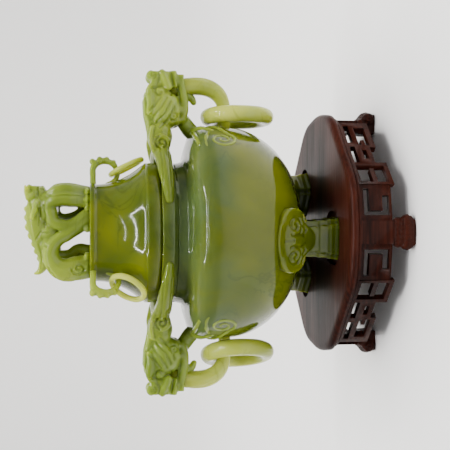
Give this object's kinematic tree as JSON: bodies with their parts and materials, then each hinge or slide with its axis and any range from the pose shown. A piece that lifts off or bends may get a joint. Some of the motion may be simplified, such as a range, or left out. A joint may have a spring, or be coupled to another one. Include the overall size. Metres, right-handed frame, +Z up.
{
  "type": "jade censer with stand",
  "caption": "Lidded tripod censer of carved jade with dragon handles, loose hanging rings and a dragon finial, on a fretted hardwood stand.",
  "frame": {"origin": "on the floor, under the middle of the stand", "axes": "+Z up, +X to the right along the two handles, -Y is the front with the front leg"},
  "size_m": [0.1652, 0.1268, 0.1799],
  "materials": {
    "jade": "polished translucent olive green jade",
    "jade_pale": "polished translucent yellow-green jade",
    "stand_wood": "dark red-brown hardwood under glossy varnish"
  },
  "bodies": {
    "stand": {"stand_board": "stand_wood", "corner_panel_front": "stand_wood", "corner_panel_right": "stand_wood", "corner_panel_back": "stand_wood", "corner_panel_left": "stand_wood", "side_panel_front_right": "stand_wood", "side_panel_back_right": "stand_wood", "side_panel_back_left": "stand_wood", "side_panel_front_left": "stand_wood", "stand_foot_front": "stand_wood", "stand_foot_right": "stand_wood", "stand_foot_back": "stand_wood", "stand_foot_left": "stand_wood"},
    "censer": {"bowl": "jade", "bowl_collar": "jade", "leg_front": "jade", "leg_back_right": "jade", "leg_back_left": "jade", "dragon_handle_right": "jade_pale", "dragon_handle_left": "jade_pale", "tongue_right": "jade_pale", "tongue_left": "jade_pale"},
    "lid": {"lid_shell": "jade", "lid_loop_right": "jade_pale", "lid_loop_left": "jade_pale", "finial_dragon": "jade_pale"},
    "handle_ring_right": {"ring_right": "jade_pale"},
    "handle_ring_left": {"ring_left": "jade_pale"},
    "loop_ring_right": {"lid_ring_right": "jade_pale"},
    "loop_ring_left": {"lid_ring_left": "jade_pale"}
  },
  "joints": [
    {"name": "censer_lift", "type": "slide", "parent": "stand", "child": "censer", "axis": [0, 0, 1], "range_m": [0, 0.03]},
    {"name": "lid_lift", "type": "slide", "parent": "censer", "child": "lid", "axis": [0, 0, 1], "range_m": [0, 0.04]},
    {"name": "ring_right_swing", "type": "hinge", "parent": "censer", "child": "handle_ring_right", "pos_m": [0.0596, 0, 0.079], "axis": [1, 0, 0], "range_deg": [-45, 45]},
    {"name": "ring_left_swing", "type": "hinge", "parent": "censer", "child": "handle_ring_left", "pos_m": [-0.0623, 0, 0.079], "axis": [-0.9397, -0.342, 0], "range_deg": [-25, 25]},
    {"name": "lid_ring_right_swing", "type": "hinge", "parent": "lid", "child": "loop_ring_right", "pos_m": [0.03103, 0.00108, 0.13366], "axis": [0.8905, 0.0311, 0.454], "range_deg": [-35, 35]},
    {"name": "lid_ring_left_swing", "type": "hinge", "parent": "lid", "child": "loop_ring_left", "pos_m": [-0.0248, -0.01869, 0.13366], "axis": [-0.7116, -0.5362, 0.454], "range_deg": [-35, 35]}
  ]
}
